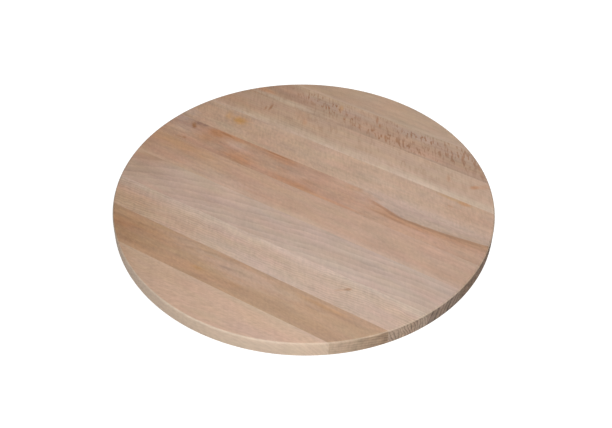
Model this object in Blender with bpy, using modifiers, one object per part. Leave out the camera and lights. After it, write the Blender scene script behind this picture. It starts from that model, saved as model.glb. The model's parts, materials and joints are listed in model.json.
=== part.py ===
"""Round beech cutting board: staves edge-glued into a panel, then turned to a disc with eased arrises.

X runs along the grain, Y across the staves from the front to the back, and Z up.
The origin is the centre of the underside. Lengths are in metres.
"""

import bpy
from math import radians

# Driving dimensions of the finished board
BOARD_DIAMETER = 0.350
BOARD_THICKNESS = 0.016
ARRIS_RADIUS = 0.002

# The staves as they were sawn, from the front of the panel to its back. The first joint's place is
# measured from the board's centre, and the outermost staves lose most of their width to the turning.
FIRST_JOINT_Y = -0.1371
INNER_STAVE_WIDTHS = (0.0366, 0.0336, 0.0387, 0.0341, 0.0321, 0.0346, 0.0354, 0.0346)
OUTER_STAVE_WIDTH = 0.040

# A glue joint: the cured film between two staves, and the play left on each side of it
GLUE_FILM = 0.0001
SEAT_CLEARANCE = 0.0001

# What the plank blanks stand proud of the finished board, before it is planed and turned
PLANING_ALLOWANCE = 0.002
END_ALLOWANCE = 0.006

# A stave narrower than this would break off the rim, so the panel stops short of it
LEAST_STAVE = 0.004

# Facets of the turned shape
RIM_FACETS = 192
ARRIS_FACETS = 5
ARRIS_CORNER = radians(60)

# Linear colours of the staves from the front to the back, and of the glue
STAVE_COLOURS = (
    (0.527, 0.341, 0.231),
    (0.419, 0.243, 0.133),
    (0.512, 0.347, 0.252),
    (0.467, 0.321, 0.246),
    (0.452, 0.266, 0.169),
    (0.422, 0.229, 0.137),
    (0.447, 0.277, 0.176),
    (0.418, 0.257, 0.158),
    (0.352, 0.202, 0.115),
    (0.378, 0.230, 0.135),
)
GLUE_COLOUR = (0.620, 0.540, 0.400)
WOOD_ROUGHNESS = 0.55
GLUE_ROUGHNESS = 0.40


def clear_scene():
    for obj in list(bpy.data.objects):
        bpy.data.objects.remove(obj)


def new_collection(name):
    made = bpy.data.collections.new(name)
    bpy.context.scene.collection.children.link(made)
    return made


def move_to(obj, home):
    for old in list(obj.users_collection):
        old.objects.unlink(obj)
    home.objects.link(obj)


def plain_material(name, colour, roughness):
    made = bpy.data.materials.new(name)
    made.use_nodes = True
    shader = made.node_tree.nodes["Principled BSDF"]
    shader.inputs["Base Color"].default_value = (*colour, 1.0)
    shader.inputs["Roughness"].default_value = roughness
    shader.inputs["Metallic"].default_value = 0.0
    return made


def panel_edges():
    """The middle of each glue joint, with the panel's front edge first and its back edge last."""
    radius = BOARD_DIAMETER / 2
    edges = [FIRST_JOINT_Y]
    for width in INNER_STAVE_WIDTHS:
        edges.append(edges[-1] + width)
    while edges[0] > LEAST_STAVE - radius:
        edges.insert(0, edges[0] - OUTER_STAVE_WIDTH)
    while edges[-1] < radius - LEAST_STAVE:
        edges.append(edges[-1] + OUTER_STAVE_WIDTH)
    while edges[1] < LEAST_STAVE - radius:
        edges.pop(0)
    while edges[-2] > radius - LEAST_STAVE:
        edges.pop()
    # The outermost staves reach past the rim, whatever their sawn width
    edges[0] = min(edges[0], -radius - END_ALLOWANCE)
    edges[-1] = max(edges[-1], radius + END_ALLOWANCE)
    return edges


def turned_outline(home):
    """The disc that the lathe leaves, with both arrises rounded over. It is a cutter."""
    bpy.ops.mesh.primitive_cylinder_add(
        vertices=RIM_FACETS,
        radius=BOARD_DIAMETER / 2,
        depth=BOARD_THICKNESS,
        end_fill_type="NGON",
        location=(0, 0, BOARD_THICKNESS / 2),
    )
    disc = bpy.context.object
    disc.name = "turned_outline"
    disc.hide_render = True
    disc.display_type = "WIRE"
    arris = disc.modifiers.new("rounded_arris", "BEVEL")
    arris.limit_method = "ANGLE"
    arris.angle_limit = ARRIS_CORNER
    arris.width = ARRIS_RADIUS
    arris.segments = ARRIS_FACETS
    move_to(disc, home)
    return disc


def plank(name, front, back, material):
    """A sawn blank between two places across the panel, a little longer and thicker than the board."""
    bpy.ops.mesh.primitive_cube_add(size=1, location=(0, (front + back) / 2, BOARD_THICKNESS / 2))
    blank = bpy.context.object
    blank.name = name
    blank.scale = (
        BOARD_DIAMETER + 2 * END_ALLOWANCE,
        back - front,
        BOARD_THICKNESS + 2 * PLANING_ALLOWANCE,
    )
    bpy.ops.object.transform_apply(location=False, rotation=False, scale=True)
    blank.data.materials.append(material)
    return blank


def turn(blank, disc, home):
    """Cuts the blank to the board's outline. The rim and arrises come out as small faces, shaded smooth."""
    cut = blank.modifiers.new("turned", "BOOLEAN")
    cut.operation = "INTERSECT"
    cut.solver = "EXACT"
    cut.object = disc
    graph = bpy.context.evaluated_depsgraph_get()
    shape = bpy.data.meshes.new_from_object(blank.evaluated_get(graph))
    blank.modifiers.remove(cut)
    blank.data = shape
    for face in shape.polygons:
        face.use_smooth = len(face.vertices) <= 4
    move_to(blank, home)


def main():
    clear_scene()
    board = new_collection("round_cutting_board")
    disc = turned_outline(new_collection("cutters"))
    glue = plain_material("glue", GLUE_COLOUR, GLUE_ROUGHNESS)
    half_joint = GLUE_FILM / 2 + SEAT_CLEARANCE
    edges = panel_edges()

    for number, (front, back) in enumerate(zip(edges, edges[1:]), start=1):
        colour = STAVE_COLOURS[(number - 1) % len(STAVE_COLOURS)]
        beech = plain_material(f"beech_{number}", colour, WOOD_ROUGHNESS)
        stave = plank(f"stave_{number}", front + half_joint, back - half_joint, beech)
        turn(stave, disc, board)

    for number, joint in enumerate(edges[1:-1], start=1):
        film = plank(f"glue_line_{number}", joint - GLUE_FILM / 2, joint + GLUE_FILM / 2, glue)
        turn(film, disc, board)


main()
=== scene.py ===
# %% [markdown]
# # A round beech cutting board
#
# The real board is a panel of ten beech staves, glued edge to edge and turned to a disc. Nothing on
# it moves and nothing is painted, so its looks come from the wood alone: how each stave was sawn from
# its log, where brown heartwood runs through it, and how light follows the rounded rim.
#
# The imported model says where everything is. It is loaded first, and its box is kept, because the
# sizes further down are measured from it.

# %% Load the imported model
import json
from math import cos, radians, sin, sqrt

import bmesh
import bpy
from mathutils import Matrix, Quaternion, Vector


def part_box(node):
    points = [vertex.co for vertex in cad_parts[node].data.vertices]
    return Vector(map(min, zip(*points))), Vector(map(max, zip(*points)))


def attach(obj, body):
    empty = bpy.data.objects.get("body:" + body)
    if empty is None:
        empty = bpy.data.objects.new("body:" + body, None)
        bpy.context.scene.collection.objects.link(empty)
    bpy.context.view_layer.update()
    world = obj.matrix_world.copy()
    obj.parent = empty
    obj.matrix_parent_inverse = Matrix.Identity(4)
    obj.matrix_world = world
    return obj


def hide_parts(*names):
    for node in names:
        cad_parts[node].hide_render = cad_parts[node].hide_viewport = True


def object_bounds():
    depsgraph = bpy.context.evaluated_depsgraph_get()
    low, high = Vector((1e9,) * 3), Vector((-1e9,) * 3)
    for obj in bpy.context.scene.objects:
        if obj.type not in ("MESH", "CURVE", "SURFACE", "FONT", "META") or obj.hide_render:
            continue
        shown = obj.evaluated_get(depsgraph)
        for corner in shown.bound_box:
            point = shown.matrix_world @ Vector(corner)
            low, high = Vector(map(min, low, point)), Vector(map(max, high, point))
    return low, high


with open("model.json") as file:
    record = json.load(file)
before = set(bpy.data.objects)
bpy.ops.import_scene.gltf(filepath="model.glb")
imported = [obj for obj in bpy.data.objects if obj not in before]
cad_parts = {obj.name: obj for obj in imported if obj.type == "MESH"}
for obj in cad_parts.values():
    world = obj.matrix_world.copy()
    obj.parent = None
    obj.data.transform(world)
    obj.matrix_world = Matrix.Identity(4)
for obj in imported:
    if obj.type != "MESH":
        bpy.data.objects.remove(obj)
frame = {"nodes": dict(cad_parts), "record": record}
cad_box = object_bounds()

# %% [markdown]
# ## Sizes
#
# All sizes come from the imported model. Wood is easier to think about in millimetres, so the patterns
# further down use them, and MM turns them into metres. The joints are the middles of the glue films,
# from the front of the board to its back, and each stave lies between two of them.

# %% Measure the board
MM = 0.001
low, high = (Vector(corner) for corner in cad_box)
RADIUS = (high.x - low.x) / 2
THICKNESS = high.z - low.z


def middle_across(node):
    """How far from the board's centre line a node lies, across the staves."""
    near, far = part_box(node)
    return (near[1] + far[1]) / 2


stave_count = sum(name.startswith("stave_") for name in frame["nodes"])
joints = [middle_across(f"glue_line_{number}") for number in range(1, stave_count)]
edges = [-RADIUS, *joints, RADIUS]
print(f"{stave_count} staves in a disc {RADIUS * 2 / MM:.0f} mm across and {THICKNESS / MM:.0f} mm thick")

# %% [markdown]
# ## The camera
#
# The camera stands where the photograph was taken from, to the right of the board's front, and looks
# down at 42 degrees. Place, aim and lens could be set by eye. Here they are measured: the outline
# is an ellipse, whose proportions give the angle, and the distance and the lens are those at which the
# nine joints come out parallel. The aim is a point on the board a little nearer than its centre.

# %% Place the camera
VIEW_AZIMUTH = radians(31.30)
VIEW_ELEVATION = radians(42.36)
VIEW_DISTANCE = 0.9594
AIM_RIGHT = 0.00196
AIM_NEARER = 0.02342
CAMERA_ROLL = radians(0.97)
LENS_MM = 61.18
SENSOR_MM = 36

camera_right = Vector((cos(VIEW_AZIMUTH), sin(VIEW_AZIMUTH), 0))
towards_camera = Vector((sin(VIEW_AZIMUTH), -cos(VIEW_AZIMUTH), 0))
top_centre = Vector((0, 0, THICKNESS))

camera = bpy.data.objects.new("camera", bpy.data.cameras.new("camera"))
bpy.context.scene.collection.objects.link(camera)
rise = Vector((0, 0, sin(VIEW_ELEVATION)))
camera.location = top_centre + (towards_camera * cos(VIEW_ELEVATION) + rise) * VIEW_DISTANCE
aim = top_centre + camera_right * AIM_RIGHT + towards_camera * AIM_NEARER
looking = (aim - camera.location).to_track_quat("-Z", "Y")
camera.rotation_mode = "QUATERNION"
camera.rotation_quaternion = looking @ Quaternion((0, 0, 1), CAMERA_ROLL)
camera.data.lens = LENS_MM
camera.data.sensor_width = SENSOR_MM
bpy.context.scene.camera = camera
print("camera at", [round(value, 3) for value in camera.location])

# %% [markdown]
# ## The turned panel
#
# A workshop glues the staves first and turns the panel afterwards, so the rounded arris runs on from
# stave to stave without a step. The same order works here: one disc is made with both of its rims
# rounded over, and every stave is then sliced out of a copy of it. Making ten separate staves with
# rounded ends would need ten outlines that agree at every joint.
#
# A cone with equal radii is a cylinder. Its two rims are the only edges that lie flat, which is how
# the bevel finds them.

# %% Turn the disc
RIM_FACETS = 384
ARRIS_RADIUS = 0.002
ARRIS_FACETS = 8
FLAT = 1e-6


def lies_flat(edge):
    return abs(edge.verts[0].co.z - edge.verts[1].co.z) < FLAT


def turned_disc():
    """The whole board as one closed shape, standing on its underside."""
    disc = bmesh.new()
    bmesh.ops.create_cone(
        disc, cap_ends=True, segments=RIM_FACETS, radius1=RADIUS, radius2=RADIUS, depth=THICKNESS
    )
    bmesh.ops.translate(disc, verts=disc.verts, vec=(0, 0, THICKNESS / 2))
    bmesh.ops.bevel(
        disc,
        geom=[edge for edge in disc.edges if lies_flat(edge)],
        affect="EDGES",
        offset=ARRIS_RADIUS,
        segments=ARRIS_FACETS,
        profile=0.5,
        material=-1,
    )
    return disc


panel = turned_disc()
print("the turned disc has", len(panel.faces), "faces")

# %% [markdown]
# ## Staves and glue films
#
# Slicing is done with a bisecting plane that throws away what lies beyond it, once for each side of a
# piece. The hole that a cut leaves is filled with one flat face. The rim and the arrises, whose faces
# have four corners at most, stay smoothly shaded. The edges of the cuts are marked sharp, because a
# smooth shade that ran round the corner into the joint would draw a dark smear down the rim at every
# glue line.
#
# A glue film is the same slice, only a tenth of a millimetre wide. Its staves close up against it.

# %% Cut a copy of the panel
ROUNDED_FACE_CORNERS = 4


def cut_off(piece, place, outward):
    """Throws away what lies beyond a place across the panel, and closes the cut."""
    everything = piece.verts[:] + piece.edges[:] + piece.faces[:]
    cut = bmesh.ops.bisect_plane(
        piece, geom=everything, plane_co=(0, place, 0), plane_no=(0, outward, 0), clear_outer=True
    )
    rim_of_cut = [part for part in cut["geom_cut"] if isinstance(part, bmesh.types.BMEdge)]
    bmesh.ops.edgeloop_fill(piece, edges=rim_of_cut)
    for edge in rim_of_cut:
        edge.smooth = False


def slice_of_panel(name, node, front, back):
    """One piece of the panel between two places across it, riding like its CAD node, which it hides."""
    piece = panel.copy()
    for place, outward in ((front, -1), (back, 1)):
        if abs(place) < RADIUS:
            cut_off(piece, place, outward)
    bmesh.ops.recalc_face_normals(piece, faces=piece.faces)
    for face in piece.faces:
        face.smooth = len(face.verts) <= ROUNDED_FACE_CORNERS
    mesh = bpy.data.meshes.new(name)
    piece.to_mesh(mesh)
    piece.free()
    made = bpy.data.objects.new(name, mesh)
    bpy.context.scene.collection.objects.link(made)
    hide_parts(node)
    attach(made, "root")
    return made


# %% Slice the panel
GLUE_FILM = 0.0001

half_film = GLUE_FILM / 2
fronts = [-RADIUS] + [joint + half_film for joint in joints]
backs = [joint - half_film for joint in joints] + [RADIUS]
staves = [
    slice_of_panel(f"beech_stave_{number}", f"stave_{number}", front, back)
    for number, (front, back) in enumerate(zip(fronts, backs), start=1)
]
films = [
    slice_of_panel(f"glue_film_{number}", f"glue_line_{number}", joint - half_film, joint + half_film)
    for number, joint in enumerate(joints, start=1)
]
panel.free()
print(len(staves), "staves and", len(films), "glue films")

# %% [markdown]
# ## Writing a finish as arithmetic
#
# A wood grain is arithmetic on a place in space: how far from the heart of the tree, how far along
# the trunk. In a material that becomes dozens of Math nodes, which are slow to read one by one. The
# class Value stands for one output of a node and lets Python's own signs add those nodes, so that
# 1 - mask is written just like that. Finish holds the nodes of one material, or of the background,
# and adds any other kind of node.

# %% Sums on the outputs of nodes
class Value:
    """One output of a node. Each sign between values adds the Math node of that name."""

    def __init__(self, finish, socket):
        self.finish = finish
        self.socket = socket

    def __add__(self, other):
        return self.finish.maths("ADD", self, other)

    def __sub__(self, other):
        return self.finish.maths("SUBTRACT", self, other)

    def __rsub__(self, other):
        return self.finish.maths("SUBTRACT", other, self)

    def __mul__(self, other):
        return self.finish.maths("MULTIPLY", self, other)

    def __truediv__(self, other):
        return self.finish.maths("DIVIDE", self, other)

    __radd__ = __add__
    __rmul__ = __mul__


# %% The nodes of one finish
class Finish:
    """A new material or world that is being written: one method for any node, and a few short forms."""

    MIX_COLOURS = (0, 6, 7)
    MIXED_COLOUR = 2

    def __init__(self, made):
        made.use_nodes = True
        self.made = made
        self.tree = made.node_tree
        self.tree.nodes.clear()

    def node(self, kind, settings=None, sockets=None, output=0):
        """Adds a node: first its settings, then the values or links of its sockets."""
        node = self.tree.nodes.new(kind)
        for name, value in (settings or {}).items():
            setattr(node, name, value)
        for key, value in (sockets or {}).items():
            if isinstance(value, Value):
                self.tree.links.new(value.socket, node.inputs[key])
            else:
                node.inputs[key].default_value = value
        return Value(self, node.outputs[output]) if node.outputs else None

    def maths(self, operation, *values):
        return self.node("ShaderNodeMath", {"operation": operation}, dict(enumerate(values)))

    def vectors(self, operation, *values):
        return self.node("ShaderNodeVectorMath", {"operation": operation}, dict(enumerate(values)))

    def joined(self, x, y=0.0, z=0.0):
        """A vector out of three numbers."""
        return self.node("ShaderNodeCombineXYZ", {}, {0: x, 1: y, 2: z})

    def split(self, vector):
        """The three parts of a vector."""
        parts = self.node("ShaderNodeSeparateXYZ", {}, {0: vector}).socket.node.outputs
        return [Value(self, part) for part in parts]

    def step(self, value, start, end):
        """A soft step from 0 to 1, or back down where end is below start."""
        sockets = {"Value": value, "From Min": start, "From Max": end}
        return self.node("ShaderNodeMapRange", {"interpolation_type": "SMOOTHSTEP"}, sockets)

    def noise(self, place, grain, detail=2.0, roughness=0.5):
        """Noise from -1 to 1, whose blobs are about as large as grain says along each axis."""
        cells = self.vectors("DIVIDE", place, grain)
        sockets = {"Vector": cells, "Scale": 1.0, "Detail": detail, "Roughness": roughness}
        return self.node("ShaderNodeTexNoise", {}, sockets) * 2.0 - 1.0

    def mix(self, factor, first, second):
        sockets = dict(zip(self.MIX_COLOURS, (factor, first, second)))
        return self.node("ShaderNodeMix", {"data_type": "RGBA"}, sockets, self.MIXED_COLOUR)

    def shade(self, colour, tone):
        """A colour made lighter or darker by a number."""
        return self.node("ShaderNodeVectorMath", {"operation": "SCALE"}, {"Vector": colour, "Scale": tone})

    def surface(self, sockets):
        """Ends a material with its shader, and gives the material."""
        shader = self.node("ShaderNodeBsdfPrincipled", {}, sockets)
        self.node("ShaderNodeOutputMaterial", {}, {"Surface": shader})
        return self.made


def colour(red, green, blue):
    return (red, green, blue, 1.0)


# %% [markdown]
# ## How beech is built
#
# Three things make beech look like beech. Annual rings stand round the pith, and where a saw cuts
# them slantwise they open into flames. Medullary rays run outwards from the pith as thin upright
# sheets: a flat-sawn face cuts them into short dashes along the grain, and a quarter-sawn face cuts
# them lengthways into flakes across it. Fibres and fine pores run along the trunk.
#
# A flat picture of each of these would have to be drawn again for the top, the rim and the end
# grain. It is simpler to describe the tree once, in three dimensions, and let each stave's surface
# cut through it, as the saw did. Every stave then only needs to know where its pith was.
#
# Each stave takes its noise from another part of the tree, so that no pattern runs on over a joint.

# %% A place in the tree
BOW_GRAIN = (150.0, 110.0, 110.0)
RIPPLE_GRAIN = (14.0, 8.0, 8.0)
NEXT_SAMPLE = (431.0, 77.0, 53.0)
ENDS_MIDDLE = 10.0


class Timber:
    """The places that the patterns of one stave are worked out from, in millimetres."""

    def __init__(self, finish, number, middle, stave):
        held = finish.node("ShaderNodeTexCoord", output="Object")
        board = finish.vectors("MULTIPLY", held, (1 / MM,) * 3)
        self.sample = finish.vectors("ADD", board, [number * step for step in NEXT_SAMPLE])
        self.x, self.y, self.z = finish.split(board)
        from_middle = self.x - ENDS_MIDDLE
        self.ends = from_middle * from_middle / (RADIUS * RADIUS / MM / MM)
        side, depth = stave["pith"]
        drift, dive = stave["slope"]
        bend = self.x * self.x * stave["bend"]
        sideways = self.y - (middle / MM + side) - self.x * drift - bend
        upwards = self.z - (THICKNESS / MM - depth) - self.x * dive
        bow = finish.noise(self.sample, BOW_GRAIN, 1.0) * stave["bow"]
        ripple = finish.noise(self.sample, RIPPLE_GRAIN, 1.0) * stave["ripple"]
        self.radius = finish.maths("SQRT", sideways * sideways + upwards * upwards) + bow + ripple
        self.round_pith = finish.maths("ARCTAN2", sideways, upwards) * sqrt(side * side + depth * depth)


# %% The annual rings
LATE_WOOD = 0.50
RING_END = 0.93
EARLY_WOOD = 0.45
FIRST_WOOD = 0.10
YEARS_ALIKE = 2.5
UNEVEN_YEARS = 0.7


def annual_rings(finish, timber, stave):
    """The dark line that ends each year, the pale wood that starts the next, and good and bad years."""
    climate = finish.noise(finish.joined(timber.radius), (stave["ring"] * YEARS_ALIKE,) * 3, 1.0)
    years = timber.radius / stave["ring"] + climate * UNEVEN_YEARS
    growth = finish.maths("FRACT", years)
    late = finish.step(growth, LATE_WOOD, RING_END) * finish.step(growth, 1.0, RING_END)
    early = finish.step(growth, 0.0, 1.0 - RING_END) * finish.step(growth, EARLY_WOOD, FIRST_WOOD)
    return late, early, climate


# %% The rays
def medullary_rays(finish, timber, stave):
    """Sheets that stand along the trunk and run outwards: long along the radius, thin across it."""
    leaning = timber.x + timber.y * stave["ray_lean"]
    return finish.noise(finish.joined(leaning, timber.round_pith, timber.radius), stave["ray"], 1.0)


# %% The whole figure
FIBRE_GRAIN = (8.0, 1.0, 1.0)
MOTTLE_GRAIN = (24.0, 3.6, 3.6)
CLOUD_GRAIN = (30.0, 11.0, 11.0)
SANDING_GRAIN = (1.8, 13.0, 6.0)
SANDING_LEAN = 0.63
FINE_DETAIL = (3.0, 0.6)


class Figure:
    """All the patterns of one stave, which a woodworker calls its figure."""

    def __init__(self, finish, timber, stave):
        self.late, self.early, self.climate = annual_rings(finish, timber, stave)
        self.rays = medullary_rays(finish, timber, stave)
        self.fibres = finish.noise(timber.sample, FIBRE_GRAIN, *FINE_DETAIL)
        self.mottle = finish.noise(timber.sample, MOTTLE_GRAIN, *FINE_DETAIL)
        self.clouds = finish.noise(timber.sample, CLOUD_GRAIN)
        sanded = finish.joined(timber.x + timber.y * SANDING_LEAN, timber.y, timber.z)
        self.sanding = finish.noise(sanded, SANDING_GRAIN)


# %% [markdown]
# ## Marks in the wood
#
# A stave also has marks of its own: brown heart streaks along the grain, a knot, a grey patch. Each
# is a soft ellipse with a ragged edge, long for a streak and round for a knot. They could be painted
# as a picture, but then the rim and the underside would not know of them.

# %% A streak, a patch or a knot
RAGGED_SHARE = 0.5
MOST_RAGGED_ALONG = 14.0
MOST_RAGGED_ACROSS = 3.0


def streak(tint, cover, at, size, lean=0.0, soft=0.9, ragged=0.7):
    """Describes a mark: its middle and half lengths in millimetres, and its lean to the grain."""
    return dict(tint=tint, cover=cover, at=at, size=size, lean=lean, soft=soft, ragged=ragged)


def mask_of(finish, timber, mark):
    """How much of a mark covers each place, from 0 to 1."""
    along = timber.x - mark["at"][0]
    across = timber.y - mark["at"][1]
    turn = radians(mark["lean"])
    long, short = mark["size"]
    u = (along * cos(turn) + across * sin(turn)) / long
    v = (across * cos(turn) - along * sin(turn)) / short
    ragged_along = min(long * RAGGED_SHARE, MOST_RAGGED_ALONG)
    ragged_across = min(short * RAGGED_SHARE, MOST_RAGGED_ACROSS)
    raggedness = finish.noise(timber.sample, (ragged_along, ragged_across, MOST_RAGGED_ACROSS))
    reach = finish.maths("SQRT", u * u + v * v) + raggedness * mark["ragged"]
    return finish.step(reach, 1.0 + mark["soft"] / 2, 1.0 - mark["soft"]) * mark["cover"]


# %% Tints that the marks bring
HEARTWOOD = colour(0.415, 0.185, 0.075)
BURNT_HEART = colour(0.400, 0.160, 0.045)
RED_HEART = colour(0.405, 0.205, 0.108)
KNOT_AMBER = colour(0.425, 0.198, 0.032)
GREY_WOOD = colour(0.440, 0.298, 0.226)
TONGUE_WOOD = colour(0.422, 0.274, 0.202)
BLUSH_WOOD = colour(0.530, 0.395, 0.315)
PALE_WOOD = colour(0.550, 0.405, 0.295)
BROWN_FLAKE = colour(0.255, 0.086, 0.002)
DARK_LINE = colour(0.285, 0.112, 0.028)
STRAW_WOOD = colour(0.450, 0.292, 0.180)
DUSK_WOOD = colour(0.290, 0.158, 0.095)
DARK_SPOT = colour(0.250, 0.125, 0.075)

# %% [markdown]
# ## The ten staves
#
# Each entry tells how one stave was sawn and what shows on it. Lengths are in millimetres. Most
# staves share most of their settings, so these are written once, for a plain stave, and each of the
# ten only says what is different.
#
# - pith is where the heart of the tree was, to the side of the middle of the stave's top face and
#   below it: far to the side means quarter-sawn, far below means flat-sawn. slope is how much it
#   strays to the side and downwards for each millimetre along the board, and bend how it curves.
# - ring is the width of a year, and bow and ripple how far the rings wander, widely and finely.
# - ray is the size of a ray along the trunk, round it and outwards, and ray_lean its slant.
# - late, early, climate, rays, fibre, sanding, mottle and cloud say how strongly each shows.
# - hue is how much the colour drifts, tone how light the stave is, fade how much lighter it gets in
#   every 100 mm to the right, partly painted light and partly the stave's own colour, and ends how
#   dark its end grain is.
# - flakes and flake_rows say how brown the strongest rays are, everywhere and in rows.
# - marks are laid one over the other, in their order. An edge is a tint that is full at one place
#   across the board and gone at another.

# %% A plain stave
PLAIN = {
    "pith": (12.0, 90.0),
    "slope": (0.0, 0.03),
    "bend": 0.0,
    "bow": 4.0,
    "ripple": 0.4,
    "ring": 3.0,
    "late": 0.04,
    "early": 0.03,
    "climate": 0.06,
    "ray": (3.0, 2.0, 10.0),
    "ray_lean": 0.57,
    "rays": 0.10,
    "flakes": 0.00,
    "fibre": 0.07,
    "sanding": 0.055,
    "mottle": 0.15,
    "cloud": 0.16,
    "hue": 0.60,
    "lighter_rightwards": 0.045,
    "tone": 1.00,
    "ends": 1.00,
    "marks": (),
    "edges": (),
    "flake_rows": (),
}
STAVES = {}

# %% Stave 1: pale, cut short by the front of the disc
STAVES[1] = {
    "pith": (30.0, 60.0),
    "slope": (0.02, 0.02),
    "bow": 2.0,
    "late": 0.01,
    "early": 0.01,
    "climate": 0.02,
    "ray": (4.0, 1.5, 16.0),
    "ray_lean": -1.50,
    "rays": 0.19,
    "fibre": 0.09,
    "mottle": 0.08,
    "cloud": 0.07,
    "hue": 0.40,
    "lighter_rightwards": 0.10,
    "tone": 0.985,
    "marks": (
        streak(GREY_WOOD, 0.40, (66.0, -164.0), (58.0, 13.0)),
        streak(HEARTWOOD, 0.22, (-96.0, -158.0), (44.0, 16.0), -34.0),
    ),
    "edges": ((PALE_WOOD, 0.25, -137.1, -143.8),),
}

# %% Stave 2: honey tan, with a dark streak at its left end
STAVES[2] = {
    "pith": (-25.0, 120.0),
    "slope": (0.01, 0.02),
    "late": 0.06,
    "rays": 0.16,
    "fibre": 0.08,
    "mottle": 0.19,
    "cloud": 0.12,
    "hue": 0.70,
    "tone": 0.985,
    "marks": (
        # The dark streak at the left end
        streak(BROWN_FLAKE, 0.34, (-116.0, -120.0), (40.0, 13.0)),
        streak(HEARTWOOD, 0.45, (-113.2, -117.0), (34.0, 4.0)),
        # Paler and greyer patches
        streak(BLUSH_WOOD, 0.35, (10.0, -112.0), (62.0, 9.0)),
        streak(GREY_WOOD, 0.35, (-54.3, -105.2), (28.0, 6.0)),
        # Small amber streaks
        streak(KNOT_AMBER, 0.40, (-29.0, -126.0), (7.0, 2.2)),
        streak(KNOT_AMBER, 0.22, (9.2, -125.7), (8.0, 2.2)),
        streak(KNOT_AMBER, 0.40, (84.0, -106.5), (26.0, 3.0)),
        streak(RED_HEART, 0.30, (110.7, -109.9), (16.0, 3.0)),
        # A warmer front, and a paler patch behind the dark streak
        streak(HEARTWOOD, 0.12, (35.0, -130.0), (110.0, 6.0)),
        streak(BLUSH_WOOD, 0.12, (-100.0, -118.0), (16.0, 5.0)),
    ),
}

# %% Stave 3: the palest, with fine wavy growth lines and a pin knot
STAVES[3] = {
    "pith": (-90.0, 30.0),
    "slope": (0.08, 0.0),
    "bow": 8.0,
    "ripple": 2.2,
    "ring": 2.3,
    "late": 0.11,
    "early": 0.06,
    "climate": 0.10,
    "rays": 0.15,
    "fibre": 0.10,
    "mottle": 0.12,
    "tone": 1.015,
    "ends": 0.88,
    "marks": (
        streak(STRAW_WOOD, 0.60, (-118.0, -92.4), (50.0, 12.0)),
        streak(HEARTWOOD, 0.22, (-140.0, -86.0), (30.0, 16.0)),
        streak(BLUSH_WOOD, 0.45, (8.0, -95.0), (56.0, 8.0)),
        # The pin knot and its tail
        streak(DARK_LINE, 0.70, (92.5, -78.4), (3.4, 1.8), 30.0, 0.8, 0.3),
        streak(HEARTWOOD, 0.35, (87.5, -82.5), (7.0, 1.6), 35.0),
        # Slow changes of colour
        streak(GREY_WOOD, 0.60, (118.0, -94.0), (50.0, 7.0)),
        streak(PALE_WOOD, 0.35, (-60.0, -72.0), (60.0, 5.0)),
        streak(HEARTWOOD, 0.12, (-22.0, -84.0), (60.0, 8.0)),
    ),
    "edges": ((BLUSH_WOOD, 0.70, -66.9, -80.5),),
}

# %% Stave 4: pinkish grey, with slanting flames
STAVES[4] = {
    "pith": (80.0, 50.0),
    "slope": (0.19, 0.0),
    "bend": -0.00055,
    "bow": 7.0,
    "ripple": 1.0,
    "ring": 5.4,
    "late": 0.055,
    "early": 0.06,
    "climate": 0.10,
    "fibre": 0.055,
    "mottle": 0.09,
    "cloud": 0.14,
    "lighter_rightwards": 0.01,
    "ends": 1.14,
    "marks": (
        streak(STRAW_WOOD, 0.50, (-109.7, -29.7), (100.0, 14.0), 5.0),
        streak(HEARTWOOD, 0.40, (-154.0, -31.0), (36.0, 10.0), 10.0),
        streak(BLUSH_WOOD, 0.60, (-95.0, -32.0), (60.0, 9.0), 5.0),
        streak(DUSK_WOOD, 0.24, (-154.0, -50.0), (36.0, 13.0), 14.0),
        streak(BLUSH_WOOD, 0.35, (99.5, -61.9), (90.0, 8.0)),
        streak(STRAW_WOOD, 0.25, (-68.0, -32.0), (60.0, 6.0)),
    ),
}

# %% Stave 5: warm pink, across the middle of the board
STAVES[5] = {
    "pith": (60.0, 80.0),
    "slope": (0.02, 0.0),
    "ring": 2.6,
    "late": 0.02,
    "climate": 0.03,
    "rays": 0.13,
    "lighter_rightwards": 0.02,
    "ends": 1.33,
    "marks": (
        streak(KNOT_AMBER, 0.30, (-142.0, -1.5), (50.0, 9.0)),
        streak(BLUSH_WOOD, 0.36, (-82.0, -21.0), (38.0, 8.0)),
        streak(GREY_WOOD, 0.15, (90.1, -24.3), (80.0, 5.0)),
        streak(RED_HEART, 0.15, (119.8, -19.4), (60.0, 6.0)),
    ),
    "edges": ((PALE_WOOD, 0.30, -28.2, -20.3),),
}

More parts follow.
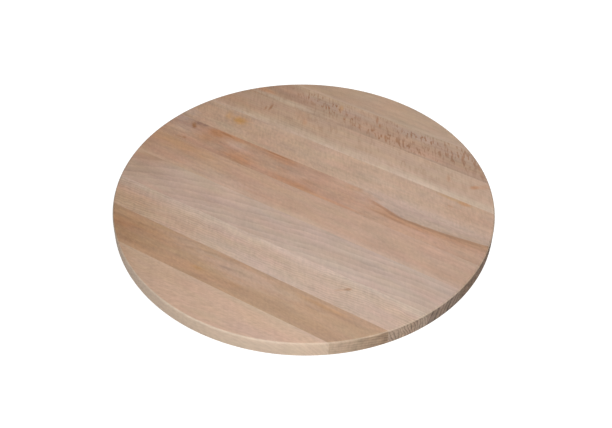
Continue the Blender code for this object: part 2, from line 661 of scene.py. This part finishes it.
# %% Stave 6: reddish, with brown streaks and a pale tongue
STAVES[6] = {
    "pith": (40.0, 70.0),
    "slope": (0.01, 0.01),
    "rays": 0.17,
    "mottle": 0.21,
    "cloud": 0.22,
    "hue": 0.90,
    "lighter_rightwards": 0.02,
    "tone": 1.005,
    "ends": 1.40,
    "marks": (
        # Grey and pale wood at the left end
        streak(GREY_WOOD, 0.55, (-154.8, 21.9), (20.0, 10.0)),
        streak(GREY_WOOD, 0.90, (-164.1, 34.1), (13.0, 7.0)),
        streak(BLUSH_WOOD, 0.45, (-95.0, 27.0), (14.0, 5.5)),
        # Two dark spots, with a brown fleck beside them
        streak(DARK_SPOT, 0.88, (-145.0, 36.3), (4.8, 3.2), -6.0, 0.8, 0.4),
        streak(DARK_SPOT, 0.82, (-138.2, 36.6), (3.8, 2.8), 6.0, 0.8, 0.4),
        streak(BROWN_FLAKE, 0.90, (-147.5, 30.3), (5.2, 2.6), -45.0, 0.8, 0.4),
        # The burnt patch, and the brown heart that trails from it
        streak(HEARTWOOD, 0.50, (-126.3, 20.7), (7.0, 9.0)),
        streak(BURNT_HEART, 1.00, (-120.6, 32.8), (10.4, 6.0), 0.0, 0.7, 0.3),
        streak(HEARTWOOD, 1.00, (-108.1, 36.3), (18.0, 5.0), -3.0),
        streak(BROWN_FLAKE, 1.00, (-111.0, 35.6), (8.5, 1.6), -2.0, 0.7, 0.3),
        streak(HEARTWOOD, 0.60, (-76.0, 37.0), (44.0, 3.4), 0.0, 0.7, 0.4),
        streak(HEARTWOOD, 1.00, (-47.0, 34.8), (20.0, 6.0), -2.0, 0.7, 0.5),
        streak(BROWN_FLAKE, 0.80, (-54.0, 36.4), (15.0, 0.9), 0.0, 0.6, 0.3),
        streak(RED_HEART, 0.30, (-90.0, 29.5), (72.0, 8.0)),
        # Red and brown patches along the front joint
        streak(RED_HEART, 1.00, (-81.5, 12.4), (21.0, 10.0), -3.0),
        streak(HEARTWOOD, 0.90, (-82.0, 12.4), (17.0, 6.4), -3.0),
        streak(BROWN_FLAKE, 0.60, (-150.0, 8.8), (4.0, 1.2), 6.0, 0.8, 0.4),
        streak(BROWN_FLAKE, 0.70, (-144.6, 10.4), (2.4, 1.5), 0.0, 0.8, 0.4),
        streak(HEARTWOOD, 0.35, (-37.3, 21.2), (8.0, 4.0)),
        streak(HEARTWOOD, 0.35, (-8.2, 19.1), (8.0, 3.0)),
        streak(RED_HEART, 0.90, (-17.0, 9.8), (34.0, 6.4), 0.0, 1.0),
        streak(HEARTWOOD, 0.90, (-16.0, 9.2), (28.0, 4.2), 0.0, 0.8),
        streak(BROWN_FLAKE, 0.30, (-11.5, 8.8), (8.0, 2.0), 0.0, 0.8, 0.4),
        streak(HEARTWOOD, 0.65, (26.0, 8.0), (36.0, 1.9), 0.5, 0.8, 0.6),
        streak(RED_HEART, 1.00, (33.0, 34.4), (9.0, 3.6), 0.0, 0.8, 0.5),
        streak(HEARTWOOD, 0.18, (118.3, 18.4), (70.0, 10.0)),
        streak(STRAW_WOOD, 0.60, (-162.8, 10.8), (16.0, 7.0)),
        # The brown heart in front of the tongue
        streak(HEARTWOOD, 0.70, (86.0, 20.5), (30.0, 5.0), -2.0, 0.7, 0.4),
        streak(BROWN_FLAKE, 0.65, (84.0, 17.8), (32.0, 1.6), -1.5, 0.8, 0.25),
        streak(BURNT_HEART, 0.90, (110.0, 20.0), (6.0, 1.8), 6.0, 0.7, 0.4),
        streak(BURNT_HEART, 0.60, (93.0, 20.4), (4.0, 1.6), 0.0, 0.7, 0.4),
        # The tongue: a soft brown border, a dark line on it, and pale wood inside
        streak(HEARTWOOD, 0.35, (82.3, 34.6), (48.0, 14.5), -2.9, 0.25, 0.06),
        streak(HEARTWOOD, 0.85, (159.6, 41.1), (95.0, 18.6), 9.8, 0.16, 0.04),
        streak(DARK_LINE, 0.80, (82.3, 35.4), (45.6, 12.6), -2.9, 0.10, 0.06),
        streak(DARK_LINE, 1.00, (159.6, 42.7), (92.2, 16.0), 9.8, 0.05, 0.04),
        streak(TONGUE_WOOD, 1.00, (82.3, 35.4), (42.6, 9.4), -2.9, 0.10, 0.08),
        streak(TONGUE_WOOD, 1.00, (159.6, 42.7), (88.6, 12.8), 9.8, 0.06, 0.06),
        streak(TONGUE_WOOD, 0.85, (46.5, 31.6), (11.0, 6.0), -20.0, 0.9, 0.5),
        streak(HEARTWOOD, 0.38, (50.0, 31.5), (15.0, 6.0), -14.0, 1.0, 0.8),
        # Slow changes of colour
        streak(STRAW_WOOD, 0.30, (140.0, 35.0), (30.0, 6.0)),
        streak(HEARTWOOD, 0.40, (152.0, 25.0), (22.0, 7.0)),
        streak(DUSK_WOOD, 0.22, (46.0, 26.0), (24.0, 5.0)),
        streak(KNOT_AMBER, 0.13, (130.0, 24.0), (44.0, 7.0)),
        streak(KNOT_AMBER, 0.13, (160.0, 33.0), (16.0, 6.0)),
        streak(GREY_WOOD, 0.15, (-118.0, 14.0), (26.0, 6.0)),
    ),
}

# %% Stave 7: pale brown, with an orange knot
STAVES[7] = {
    "pith": (-90.0, 40.0),
    "ring": 3.6,
    "late": 0.02,
    "climate": 0.03,
    "ray": (2.6, 1.6, 14.0),
    "rays": 0.20,
    "sanding": 0.10,
    "lighter_rightwards": 0.02,
    "tone": 1.01,
    "ends": 1.25,
    "marks": (
        # The orange knot
        streak(KNOT_AMBER, 0.55, (-113.0, 63.0), (11.0, 10.0), 20.0, 1.2),
        streak(KNOT_AMBER, 1.00, (-113.6, 61.8), (7.0, 5.6), 0.0, 0.9, 0.5),
        streak(KNOT_AMBER, 0.50, (-127.8, 63.4), (4.0, 8.0), 20.0),
        # The small knot at the right end
        streak(BURNT_HEART, 1.00, (129.8, 70.4), (7.0, 2.8), 5.0, 0.7, 0.4),
        streak(KNOT_AMBER, 0.60, (116.1, 70.8), (17.0, 2.2), 0.0),
        streak(BURNT_HEART, 0.50, (119.9, 60.7), (3.0, 1.6), 0.0),
        streak(HEARTWOOD, 0.30, (142.7, 59.2), (36.0, 14.0)),
        # Grey and pale patches
        streak(GREY_WOOD, 0.35, (-110.4, 71.4), (70.0, 8.0)),
        streak(GREY_WOOD, 0.70, (-164.2, 46.3), (13.0, 8.0)),
        streak(GREY_WOOD, 0.85, (108.7, 37.4), (76.0, 9.0), 0.0, 1.1),
        streak(PALE_WOOD, 0.20, (-120.0, 46.0), (20.0, 6.0)),
        streak(PALE_WOOD, 0.15, (40.0, 46.0), (20.0, 6.0)),
        streak(KNOT_AMBER, 0.12, (142.0, 70.0), (20.0, 5.0)),
    ),
}

# %% Stave 8: pale, with small flecks
STAVES[8] = {
    "pith": (-100.0, 20.0),
    "ray": (2.8, 1.8, 12.0),
    "rays": 0.09,
    "flakes": 0.09,
    "sanding": 0.10,
    "mottle": 0.11,
    "marks": (
        # Single flecks at the left end
        streak(BROWN_FLAKE, 0.60, (-103.4, 92.8), (3.6, 1.3), -75.0, 0.7, 0.4),
        streak(BROWN_FLAKE, 0.75, (-99.5, 96.2), (6.0, 1.6), -80.0, 0.7, 0.4),
        streak(HEARTWOOD, 0.30, (-142.0, 82.0), (34.0, 11.0)),
        streak(RED_HEART, 0.50, (-65.7, 102.6), (9.0, 6.0)),
        streak(HEARTWOOD, 0.60, (-57.6, 94.3), (6.0, 2.6), -60.0),
        streak(HEARTWOOD, 0.60, (101.4, 94.9), (6.0, 2.0), -60.0),
        # The small knot at the right end
        streak(BURNT_HEART, 1.00, (127.8, 96.2), (4.4, 2.8), 35.0, 0.7, 0.4),
        streak(HEARTWOOD, 0.55, (134.8, 101.2), (7.0, 3.6), 40.0, 0.7, 0.4),
        # Slow changes of colour
        streak(PALE_WOOD, 0.28, (20.0, 82.0), (42.0, 5.0)),
        streak(DUSK_WOOD, 0.10, (-20.0, 94.0), (18.0, 5.0)),
    ),
    "edges": (
        (PALE_WOOD, 0.65, 72.6, 87.5),
        (RED_HEART, 0.14, 108.0, 98.0),
    ),
    "flake_rows": (
        streak(None, 0.16, (62.4, 94.7), (64.0, 11.0)),
        streak(None, 0.15, (-49.5, 97.8), (40.0, 9.0)),
    ),
}

# %% Stave 9: quarter-sawn, with rows of dark ray flecks
STAVES[9] = {
    "pith": (-150.0, 10.0),
    "slope": (0.0, 0.0),
    "ring": 4.0,
    "ray": (2.2, 2.2, 7.5),
    "rays": 0.12,
    "flakes": 0.16,
    "fibre": 0.09,
    "cloud": 0.20,
    "hue": 0.90,
    "lighter_rightwards": 0.00,
    "tone": 0.957,
    "marks": (
        # Pale, red and grey patches
        streak(PALE_WOOD, 0.55, (-90.0, 113.0), (56.0, 5.0), 0.0, 1.0),
        streak(RED_HEART, 0.45, (-96.4, 125.5), (24.0, 13.0)),
        streak(DUSK_WOOD, 0.50, (-98.0, 121.6), (22.0, 8.0)),
        streak(HEARTWOOD, 0.80, (-118.8, 117.5), (14.0, 3.6)),
        streak(STRAW_WOOD, 0.65, (-40.0, 142.0), (62.0, 10.0)),
        streak(GREY_WOOD, 0.30, (-39.4, 131.0), (50.0, 9.0)),
        streak(GREY_WOOD, 0.45, (45.0, 136.0), (28.0, 8.0)),
        streak(RED_HEART, 0.80, (53.6, 118.7), (84.0, 9.0), -3.0),
        # The largest flakes
        streak(KNOT_AMBER, 0.60, (-38.3, 132.5), (6.0, 3.0), -62.0, 0.7, 0.4),
        streak(DARK_LINE, 0.95, (2.0, 136.0), (7.5, 1.3), -64.0, 0.7, 0.3),
        streak(BROWN_FLAKE, 0.90, (8.5, 129.2), (4.0, 1.2), -62.0, 0.7, 0.3),
        streak(BROWN_FLAKE, 1.00, (21.8, 116.6), (4.0, 1.5), -62.0, 0.7, 0.3),
        streak(BROWN_FLAKE, 0.90, (24.8, 112.4), (3.0, 1.2), -62.0, 0.7, 0.3),
        streak(BROWN_FLAKE, 0.85, (33.4, 117.6), (3.6, 1.2), -62.0, 0.7, 0.3),
        streak(BROWN_FLAKE, 0.95, (79.0, 122.0), (4.4, 1.4), -60.0, 0.7, 0.3),
        streak(BROWN_FLAKE, 0.80, (85.4, 125.6), (3.4, 1.2), -62.0, 0.7, 0.3),
        streak(BROWN_FLAKE, 1.00, (100.4, 127.4), (6.6, 1.4), -66.0, 0.7, 0.3),
        streak(DARK_LINE, 1.00, (119.0, 124.2), (5.0, 1.6), -55.0, 0.7, 0.3),
        streak(DARK_LINE, 0.90, (127.0, 114.2), (5.0, 1.7), -50.0, 0.7, 0.3),
        # Slow changes of colour
        streak(STRAW_WOOD, 0.15, (-40.0, 118.0), (46.0, 6.0)),
        streak(KNOT_AMBER, 0.15, (112.0, 119.0), (26.0, 5.0)),
        streak(HEARTWOOD, 0.18, (18.0, 130.0), (14.0, 6.0)),
        streak(KNOT_AMBER, 0.08, (0.0, 141.0), (70.0, 5.0)),
    ),
    "edges": ((STRAW_WOOD, 0.45, 142.6, 137.0),),
    "flake_rows": (
        streak(None, 1.00, (24.4, 117.0), (48.0, 7.5), -4.0),
        streak(None, 1.00, (101.0, 128.0), (34.0, 13.0)),
        streak(None, 0.80, (-50.0, 128.6), (42.0, 8.6), -10.0),
        streak(None, 0.60, (46.0, 134.0), (44.0, 9.0)),
    ),
}

# %% Stave 10: plain light brown, cut short by the back of the disc
STAVES[10] = {
    "pith": (10.0, 120.0),
    "ring": 4.0,
    "rays": 0.09,
    "fibre": 0.045,
    "mottle": 0.20,
    "cloud": 0.12,
    "hue": 0.80,
    "lighter_rightwards": 0.02,
    "marks": (streak(KNOT_AMBER, 0.07, (-20.0, 158.0), (80.0, 14.0)),),
    "edges": ((PALE_WOOD, 0.25, 142.6, 147.2),),
}

print("described", len(STAVES), "staves")

# %% [markdown]
# ## The colour of a stave
#
# The finish starts from the stave's own colour in the record, drifting between a warmer and a cooler
# one, and warmer towards the stave's ends. The edges and the marks then tint it one after the other.
# A last slow drift goes between pink and yellow, the two casts that beech has where it was steamed
# more and less. One flat colour would be simpler, but a stave would look like a painted strip.

# %% Tint the wood
WARMER = (1.06, 0.99, 0.92)
COOLER = (0.94, 1.00, 1.07)
PINKER = (1.020, 0.988, 1.010)
YELLOWER = (0.985, 1.010, 0.970)
HUE_GRAIN = (45.0, 12.0, 12.0)
HUE_MIDDLE = 0.45
WARMER_ENDS = 0.22
EDGE_GRAIN = (50.0, 8.0, 8.0)
EDGE_PATCHINESS = 0.6
CAST_GRAIN = (40.0, 9.0, 9.0)
CAST_STRENGTH = 1.4
CAST_MIDDLE = 0.5


def tinted_wood(finish, timber, stave, wood):
    """The colour of the wood, with its drift of hue, its edges and its marks."""
    warmer = colour(*(part * by for part, by in zip(wood, WARMER)))
    cooler = colour(*(part * by for part, by in zip(wood, COOLER)))
    hue = finish.noise(timber.sample, HUE_GRAIN) * stave["hue"] + timber.ends * WARMER_ENDS + HUE_MIDDLE
    tinted = finish.mix(hue, cooler, warmer)
    for tint, cover, full, gone in stave["edges"]:
        fading = finish.noise(timber.sample, EDGE_GRAIN, 1.0) * EDGE_PATCHINESS + 1.0
        tinted = finish.mix(finish.step(timber.y, gone, full) * fading * cover, tinted, tint)
    for mark in stave["marks"]:
        tinted = finish.mix(mask_of(finish, timber, mark), tinted, mark["tint"])
    cast = finish.noise(timber.sample, CAST_GRAIN, 1.0) * CAST_STRENGTH + CAST_MIDDLE
    yellower = finish.vectors("MULTIPLY", tinted, YELLOWER)
    pinker = finish.vectors("MULTIPLY", tinted, PINKER)
    return finish.mix(cast, yellower, pinker)


# %% Tint the flakes
FLAKE_CLUSTERS = (9.0, 5.0, 5.0)
FLAKE_CLUSTERING = 1.3
FLAKE_BORDER = (0.07, 0.18)


def with_flakes(finish, timber, stave, rays, tinted):
    """The strongest rays turn brown where the saw ran along them, in clusters and rows."""
    if not stave["flakes"]:
        return tinted
    rows = stave["flakes"] + sum(mask_of(finish, timber, row) for row in stave["flake_rows"])
    clusters = finish.noise(timber.sample, FLAKE_CLUSTERS, 1.0) * FLAKE_CLUSTERING + 1.0
    return finish.mix(finish.step(rays, *FLAKE_BORDER) * rows * clusters, tinted, BROWN_FLAKE)


# %% [markdown]
# ## Top, arris, rim and end grain
#
# One finish covers a whole stave, but turning changes its surfaces in different ways, and some light
# and shade is painted on them. The rim is cleaner and paler than the top. Where the rim cuts across the
# fibres, end grain drinks up light and looks darker and browner. The upper arris carries a painted
# highlight along the grain, is duller across it, and has a painted shade at the back. The faces carry
# a painted sheen, paler to the right and the back. Four materials could do this, with a hard line
# between each two. The way that the surface faces gives soft borders instead.

# %% Tell the surfaces apart
FACE_BORDER = (0.80, 0.99)
RIM_BORDER = (0.99, 0.80)
ARRIS_TOP = (0.99, 0.93)
ARRIS_BOTTOM = (0.30, 0.60)
END_GRAIN_BORDER = (0.25, 0.80)
END_GRAIN_LEVEL = (0.65, 0.25)
SIDE_GRAIN_BORDER = (0.5, 0.0)
ENDWARDS_BORDER = (0.3, 0.7)
BACKWARDS_BORDER = (-0.2, 0.5)
NEVER_ZERO = 0.001


class Facing:
    """Which way the surface looks, as soft masks from 0 to 1."""

    def __init__(self, finish):
        x, y, z = finish.split(finish.node("ShaderNodeTexCoord", output="Normal"))
        level = finish.maths("ABSOLUTE", z)
        self.along_grain = x * x / (x * x + y * y + NEVER_ZERO)
        across_fibres = finish.step(self.along_grain, *END_GRAIN_BORDER)
        self.end_grain = across_fibres * finish.step(level, *END_GRAIN_LEVEL)
        self.upper_arris = finish.step(z, *ARRIS_TOP) * finish.step(z, *ARRIS_BOTTOM)
        self.face = finish.step(level, *FACE_BORDER)
        self.rim = finish.step(level, *RIM_BORDER)
        self.sidewards = finish.step(self.along_grain, *SIDE_GRAIN_BORDER)
        self.endwards = finish.step(self.along_grain, *ENDWARDS_BORDER)
        self.backwards = finish.step(y, *BACKWARDS_BORDER)


# %% Pale wood on the faces and the rim
# The rim's pale colour, which is also the colour of the painted highlight on the upper arris.
PALE_RIM_AND_HIGHLIGHT = colour(0.680, 0.570, 0.450)
RIM_PALENESS = 0.55
END_GRAIN_SATURATION = 0.5
# A painted highlight along the upper arris, where it shows side grain.
PAINTED_ARRIS_HIGHLIGHT = 0.22
END_ARRIS_SATURATION = 0.10
# Painted sheen: white mixed into the faces, more towards the right and the back.
SHEEN_VEIL_WHITE = colour(1.0, 1.0, 1.0)
PAINTED_SHEEN = 0.056
MORE_SHEEN_RIGHTWARDS = 0.00022
MORE_SHEEN_BACKWARDS = 0.00009


def pale_rim_and_painted_light(finish, timber, facing, tinted):
    """A painted sheen lays a pale veil over the faces, most to the right and the back. The upper arris gets
    a painted highlight, and the rim is paler still.
    """
    # Painted sheen on the faces
    sheen_share = timber.x * MORE_SHEEN_RIGHTWARDS + timber.y * MORE_SHEEN_BACKWARDS + PAINTED_SHEEN
    sheened = finish.mix(sheen_share * facing.face, tinted, SHEEN_VEIL_WHITE)
    # Painted highlight on the upper arris
    arris_highlight = facing.upper_arris * facing.sidewards * PAINTED_ARRIS_HIGHLIGHT
    rim = facing.rim * RIM_PALENESS * (1.0 - facing.end_grain * END_GRAIN_SATURATION)
    paleness_and_highlight = arris_highlight + rim - facing.upper_arris * facing.along_grain * END_ARRIS_SATURATION
    return finish.mix(paleness_and_highlight, sheened, PALE_RIM_AND_HIGHLIGHT)


# %% [markdown]
# ## Light and dark in the wood
#
# Rings, rays, fibres, clouds and the marks of sanding are all small differences in how light the wood
# is, so they are added up to one number near 1 that multiplies the colour. A mix of colours for each
# would work too, but the result would depend on their order. The rings come and go in patches, and
# they show most in the end grain.

# %% Add up the tone
RING_PATCHES = (36.0, 12.0, 12.0)
RING_PATCHINESS = 1.2
RIGHTWARDS_LENGTH = 100.0
DARKER_ENDS = 0.12
END_GRAIN_RINGS = 0.21
END_GRAIN_MOTTLE = 0.22
END_GRAIN_DARKNESS = 0.37
# A painted shade on the upper arris towards the back of the board.
BACK_ARRIS_SHADE = 0.12
END_ARRIS_DARKNESS = 0.08


def tone_of(finish, timber, stave, figure, facing):
    """How light each place is, where 1 is the wood's own colour, with a painted shade at the back of the
    arris.
    """
    shown = finish.noise(timber.sample, RING_PATCHES, 1.0) * RING_PATCHINESS + 1.0
    late = figure.late * (facing.end_grain * END_GRAIN_RINGS + shown * stave["late"])
    early = figure.early * shown * stave["early"]
    # Painted shade on the back of the arris, and darker end grain where the arris crosses the fibres
    back_shade_and_end_arris = facing.backwards * BACK_ARRIS_SHADE + facing.endwards * END_ARRIS_DARKNESS
    return (
        # Lighter to the right: partly painted light, partly the stave's own change of colour
        timber.x * (stave["lighter_rightwards"] / RIGHTWARDS_LENGTH)
        + stave["tone"]
        - (late - early)
        - timber.ends * DARKER_ENDS
        + figure.climate * stave["climate"]
        - figure.rays * stave["rays"]
        + figure.fibres * stave["fibre"]
        + figure.sanding * stave["sanding"]
        + figure.mottle * (facing.end_grain * END_GRAIN_MOTTLE + stave["mottle"])
        + figure.clouds * stave["cloud"]
        - facing.end_grain * (END_GRAIN_DARKNESS * stave["ends"])
        - facing.upper_arris * back_shade_and_end_arris
    )


# %% [markdown]
# ## The beech finish
#
# The board is sanded but not lacquered, so it is matt, and its end grain is rougher still. Fibres
# stand a few hundredths of a millimetre proud, and a bump tells the light about that. It is far too
# little to need a shape of its own.

# %% Finish the staves
WOOD_ROUGHNESS = 0.60
END_ROUGHNESS = 0.28
FIBRE_ROUGHNESS = 0.05
RAY_SMOOTHNESS = 0.08
WOOD_SHEEN = 0.30
FIBRE_HEIGHT = 0.6
LATE_HEIGHT = 0.4
RAY_DEPTH = 0.4
BUMP_STRENGTH = 0.6
BUMP_DISTANCE = 0.04 * MM
slots = {entry["slot"]: entry for entry in frame["record"]["materials"]}


def beech(number, middle):
    """The finish of one stave, around its own colour in the record."""
    stave = {**PLAIN, **STAVES[number]}
    name = f"beech_{number}"
    finish = Finish(bpy.data.materials.new(name))
    timber = Timber(finish, number, middle, stave)
    figure = Figure(finish, timber, stave)
    facing = Facing(finish)
    tinted = tinted_wood(finish, timber, stave, slots[name]["base_color"])
    tinted = with_flakes(finish, timber, stave, figure.rays, tinted)
    paled = pale_rim_and_painted_light(finish, timber, facing, tinted)
    tone = tone_of(finish, timber, stave, figure, facing)
    height = figure.fibres * FIBRE_HEIGHT + figure.late * LATE_HEIGHT - figure.rays * RAY_DEPTH
    bump = {"Strength": BUMP_STRENGTH, "Distance": BUMP_DISTANCE, "Height": height}
    roughness = facing.end_grain * END_ROUGHNESS + WOOD_ROUGHNESS + figure.fibres * FIBRE_ROUGHNESS
    return finish.surface({
        "Base Color": finish.shade(paled, tone),
        "Roughness": roughness - figure.rays * RAY_SMOOTHNESS,
        "Normal": finish.node("ShaderNodeBump", {}, bump),
        "Specular IOR Level": WOOD_SHEEN,
    })


for number, (stave, front, back) in enumerate(zip(staves, edges, edges[1:]), start=1):
    stave.data.materials.append(beech(number, (front + back) / 2))
print("beech on", len(staves), "staves")

# %% [markdown]
# ## The glue
#
# White wood glue dries to a clear amber film. At a joint only its edge shows, a hairline. It could be
# left out, or drawn as a dark line on the wood, but it is a piece of its own on the real board, and as
# one it also shows on the rim and the underside.

# %% Finish the glue films
GLUE_PATCHES = (12 * MM, 12 * MM, 4 * MM)
PALE_AMBER = colour(0.52, 0.36, 0.24)
DEEP_AMBER = colour(0.40, 0.26, 0.16)
GLUE_ROUGHNESS = 0.35
GLUE_UNEVENNESS = 0.05


def dried_glue():
    finish = Finish(bpy.data.materials.new("dried_glue"))
    patchy = finish.noise(finish.node("ShaderNodeTexCoord", output="Object"), GLUE_PATCHES)
    amber = finish.mix(patchy * 0.5 + 0.5, PALE_AMBER, DEEP_AMBER)
    return finish.surface({"Base Color": amber, "Roughness": patchy * GLUE_UNEVENNESS + GLUE_ROUGHNESS})


glue = dried_glue()
for film in films:
    film.data.materials.append(glue)
print("glue on", len(films), "films")

# %% [markdown]
# ## Floor and background
#
# The board lies on a white floor that shows only its soft shadow. A white floor under plain light
# would need far more light than the wood can take, so the floor adds a glow of its own that is only
# seen and lights nothing. The background works in the same way: it is seen as white, and lights the
# board as a dimmer room. The floor is a fifth of a millimetre below the underside, because two faces
# in exactly the same place would flicker through each other.

# %% Lay the floor
FLOOR_SIZE = 6.0
FLOOR_DROP = 0.0002
FLOOR_GLOW = 0.84
FLOOR_GREY = colour(0.45, 0.45, 0.45)
SEEN_RAYS = ("Is Camera Ray", "Is Glossy Ray", "Is Transmission Ray")


def seen(finish):
    """1 where something is seen, straight, in a gloss or through glass, and 0 where it lights the board."""
    straight, in_gloss, through_glass = (finish.node("ShaderNodeLightPath", output=ray) for ray in SEEN_RAYS)
    return finish.maths("MAXIMUM", finish.maths("MAXIMUM", straight, in_gloss), through_glass)


def add_floor():
    shape = bmesh.new()
    bmesh.ops.create_grid(shape, x_segments=1, y_segments=1, size=FLOOR_SIZE / 2)
    mesh = bpy.data.meshes.new("floor")
    shape.to_mesh(mesh)
    shape.free()
    floor = bpy.data.objects.new("floor", mesh)
    floor.location.z = -FLOOR_DROP
    bpy.context.scene.collection.objects.link(floor)
    finish = Finish(bpy.data.materials.new("white_floor"))
    matt = finish.node("ShaderNodeBsdfDiffuse", {}, {"Color": FLOOR_GREY})
    glow = finish.node("ShaderNodeEmission", {}, {"Strength": seen(finish) * FLOOR_GLOW})
    both = finish.node("ShaderNodeAddShader", {}, {0: matt, 1: glow})
    finish.node("ShaderNodeOutputMaterial", {}, {"Surface": both})
    mesh.materials.append(finish.made)


add_floor()
print("a white floor", FLOOR_SIZE, "m across")

# %% [markdown]
# ## Light
#
# The shadow in the photograph is soft and short, and the front of the rim is as bright as the top. So
# one large square lamp stands near the camera, and a weaker one behind the board lights the top from
# above. The room fills in the rest. A sun lamp would be simpler, but its shadow would be sharp.

# %% Light the board
def add_lamp(name, azimuth, elevation, distance, size, power):
    """A square soft box that looks at the middle of the board."""
    lamp = bpy.data.lights.new(name, "AREA")
    lamp.shape = "SQUARE"
    lamp.size = size
    lamp.energy = power
    holder = bpy.data.objects.new(name, lamp)
    turn, lift = radians(azimuth), radians(elevation)
    way = Vector((sin(turn) * cos(lift), -cos(turn) * cos(lift), sin(lift)))
    holder.location = top_centre + way * distance
    holder.rotation_mode = "QUATERNION"
    holder.rotation_quaternion = (-way).to_track_quat("-Z", "Y")
    bpy.context.scene.collection.objects.link(holder)
    print(name, "of", power, "W")


add_lamp("key_light", azimuth=34.0, elevation=35.0, distance=2.2, size=1.2, power=36.0)
add_lamp("back_light", azimuth=190.0, elevation=50.0, distance=2.2, size=1.1, power=18.3)

# %% Light the room
WHITE = colour(1.0, 1.0, 1.0)
ROOM_LIGHT = 0.271
BACKDROP_LIGHT = 1.0


def light_world():
    finish = Finish(bpy.data.worlds.new("studio"))
    room = finish.node("ShaderNodeBackground", {}, {"Color": WHITE, "Strength": ROOM_LIGHT})
    backdrop = finish.node("ShaderNodeBackground", {}, {"Color": WHITE, "Strength": BACKDROP_LIGHT})
    both = finish.node("ShaderNodeMixShader", {}, {0: seen(finish), 1: room, 2: backdrop})
    finish.node("ShaderNodeOutputWorld", {}, {"Surface": both})
    bpy.context.scene.world = finish.made


light_world()
bpy.context.scene.view_settings.view_transform = "Standard"
print("a white room at", ROOM_LIGHT)
